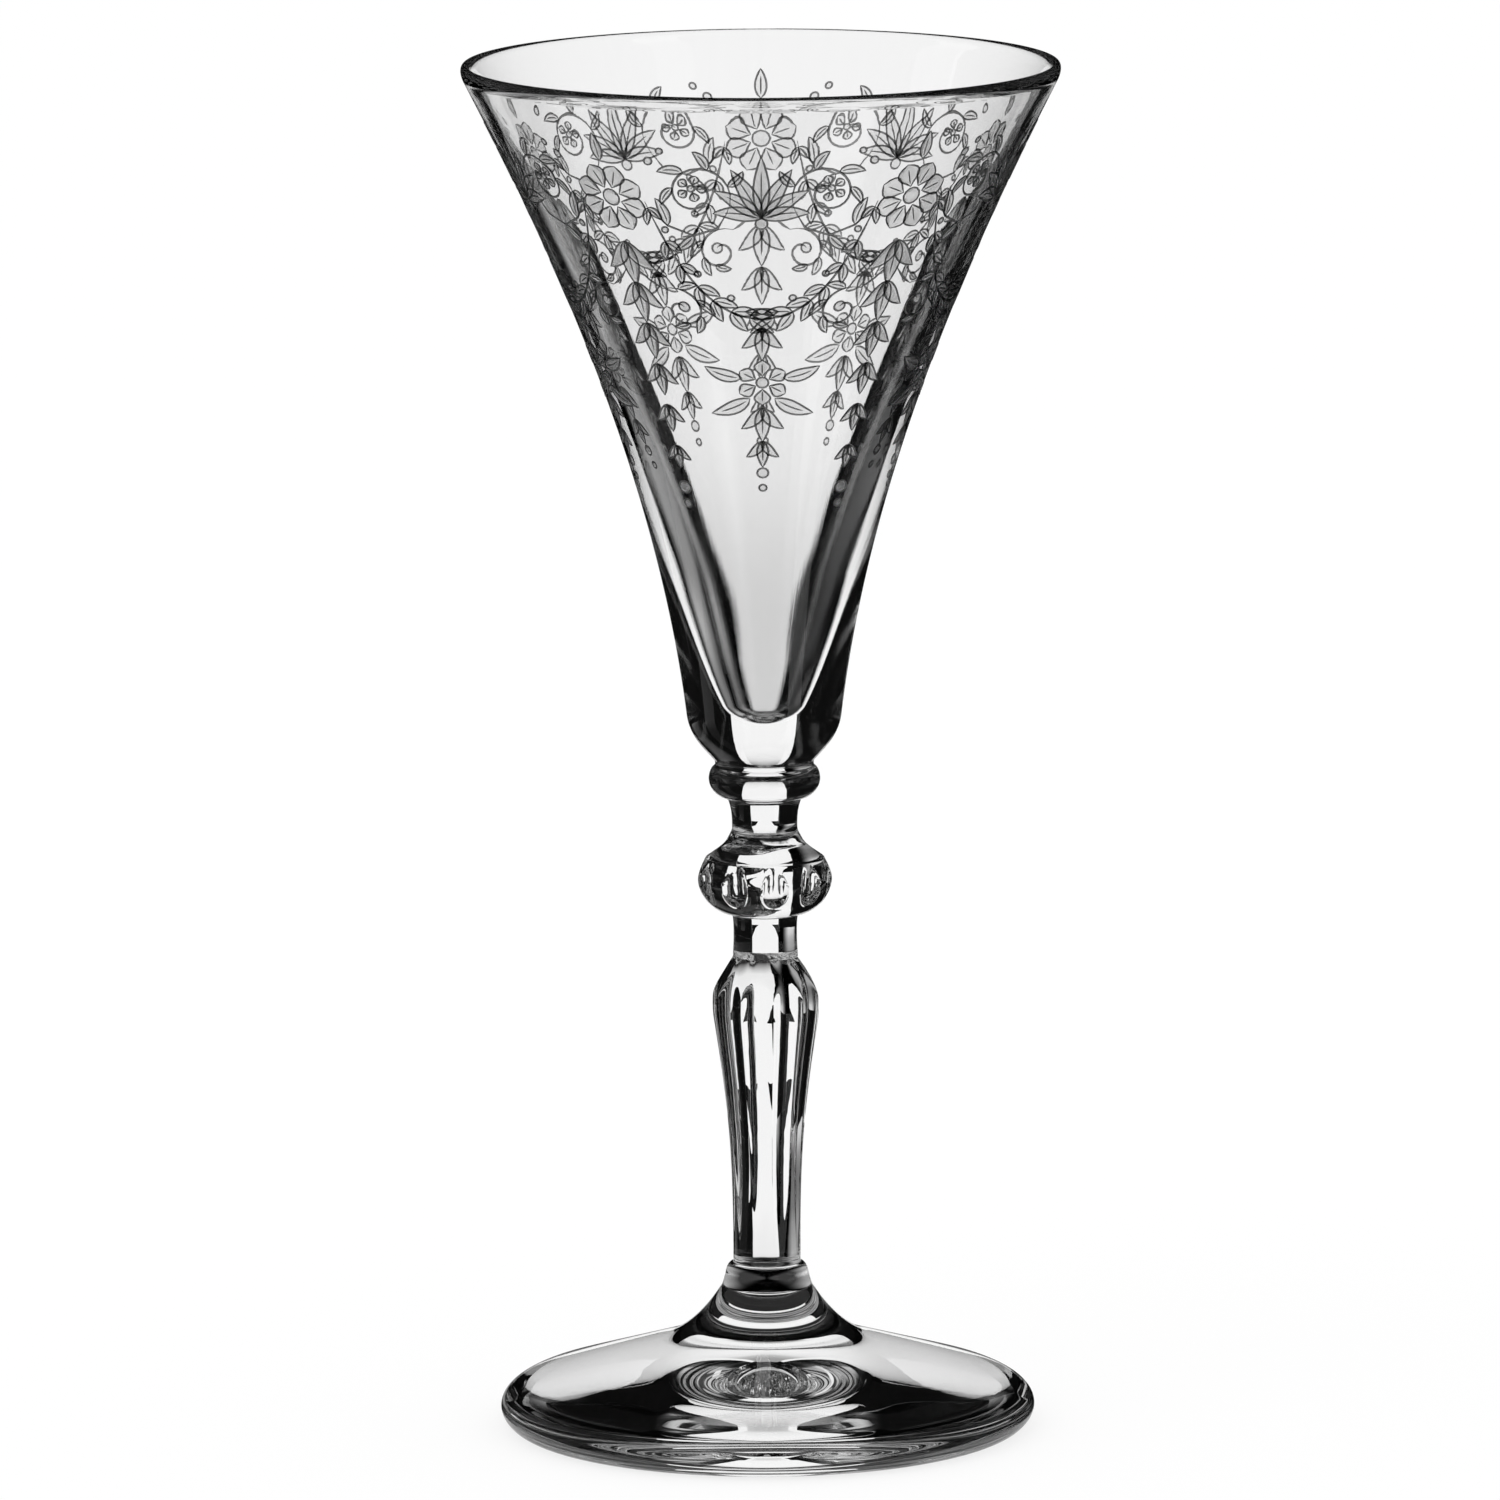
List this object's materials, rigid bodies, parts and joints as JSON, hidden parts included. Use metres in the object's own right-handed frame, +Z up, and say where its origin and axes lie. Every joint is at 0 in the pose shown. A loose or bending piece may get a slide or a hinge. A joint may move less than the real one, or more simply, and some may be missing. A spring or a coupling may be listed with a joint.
{
  "type": "sherry glass",
  "caption": "Stemmed sherry glass: flared trumpet bowl on a ring, turned knop, fluted baluster stem and domed foot, for a small pour of fortified wine.",
  "frame": {"origin": "on the axis of the glass, at the level of the surface that the foot stands on", "axes": "+Z up along the axis of the glass, from the foot to the rim; X and Y are free, because the glass is round"},
  "size_m": [0.0642, 0.0642, 0.149],
  "materials": {
    "bowl_glass": "clear, fire-polished, with fine etched ornament on the upper outside",
    "stem_glass": "clear, pressed and fire-polished",
    "foot_glass": "clear, fire-polished, smooth rest ring"
  },
  "bodies": {
    "root": {"bowl": "bowl_glass", "merese": "stem_glass", "upper_neck": "stem_glass", "knop": "stem_glass", "lower_neck": "stem_glass", "fluted_baluster": "stem_glass", "base_collar": "stem_glass", "foot": "foot_glass"}
  },
  "joints": []
}
